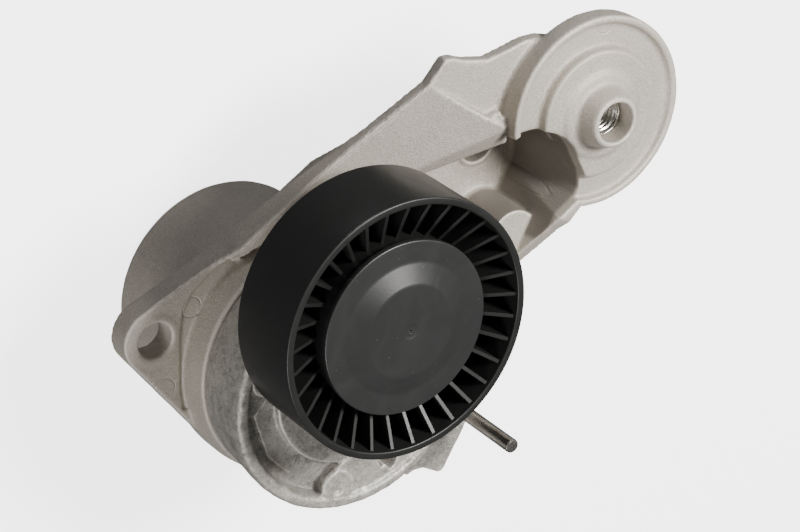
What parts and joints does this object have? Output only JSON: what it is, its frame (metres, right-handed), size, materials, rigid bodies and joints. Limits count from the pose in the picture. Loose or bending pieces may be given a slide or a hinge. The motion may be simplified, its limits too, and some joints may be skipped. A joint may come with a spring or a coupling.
{
  "type": "belt tensioner idler",
  "caption": "Accessory-belt tensioner: sprung aluminium arm with a smooth black idler pulley, on a die-cast bracket that carries a second idler seat",
  "frame": {"origin": "centre of the closed end of the spring cup, on the pivot axis", "axes": "+Z along the pivot axis towards the pulley face; +Y roughly along the arm; +X towards the second idler seat"},
  "size_m": [0.1661, 0.1292, 0.1056],
  "materials": {
    "die_cast_aluminium": "as-cast, fine grained, warm grey",
    "arm_casting": "rough cast, mottled grey",
    "black_nylon": "satin black moulded nylon",
    "cap_plastic": "satin charcoal moulding",
    "bearing_steel": "ground and polished",
    "plated_steel": "zinc plated",
    "spring_steel": "oil-hardened dark wire",
    "seal_rubber": "moulded",
    "bearing_plastic": "natural polymer"
  },
  "bodies": {
    "root": {"bracket_casting": "die_cast_aluminium", "idler_thread_insert": "plated_steel", "pivot_shaft": "plated_steel", "hub_retaining_plate": "plated_steel", "torsion_spring": "spring_steel", "spring_seat": "black_nylon"},
    "arm": {"tensioner_arm": "arm_casting", "damper_ring": "black_nylon", "rear_pivot_bush": "bearing_plastic", "front_pivot_bush": "bearing_plastic", "thrust_washer": "bearing_plastic", "bearing_spacer": "plated_steel", "bearing_inner_ring": "bearing_steel", "bolt_washer": "plated_steel", "pulley_bolt": "plated_steel"},
    "pulley": {"pulley_shell": "black_nylon", "bearing_outer_ring": "bearing_steel", "rear_bearing_seal": "seal_rubber", "front_bearing_seal": "seal_rubber", "dust_cap": "cap_plastic"},
    "cage": {"bearing_cage": "bearing_plastic", "bearing_ball_1": "bearing_steel", "bearing_ball_2": "bearing_steel", "bearing_ball_3": "bearing_steel", "bearing_ball_4": "bearing_steel", "bearing_ball_5": "bearing_steel", "bearing_ball_6": "bearing_steel", "bearing_ball_7": "bearing_steel", "bearing_ball_8": "bearing_steel"},
    "pin": {"locking_pin": "plated_steel"}
  },
  "joints": [
    {"name": "arm_pivot", "type": "hinge", "parent": "root", "child": "arm", "pos_m": [0, 0, 0], "axis": [0, 0, 1], "range_deg": [0, 28], "stiffness_Nm_per_rad": 15, "springref_deg": -68.75},
    {"name": "pulley_spin", "type": "hinge", "parent": "arm", "child": "pulley", "pos_m": [-0.0013, 0.0301, 0.092], "axis": [0, 0, 1], "continuous": true},
    {"name": "cage_spin", "type": "hinge", "parent": "arm", "child": "cage", "pos_m": [-0.0013, 0.0301, 0.092], "axis": [0, 0, 1], "continuous": true},
    {"name": "pin_pull", "type": "slide", "parent": "arm", "child": "pin", "axis": [0, 0, 1], "range_m": [0, 0.04]}
  ],
  "couplings": [
    {"joint": "cage_spin", "follows": "pulley_spin", "ratio": 0.609}
  ]
}
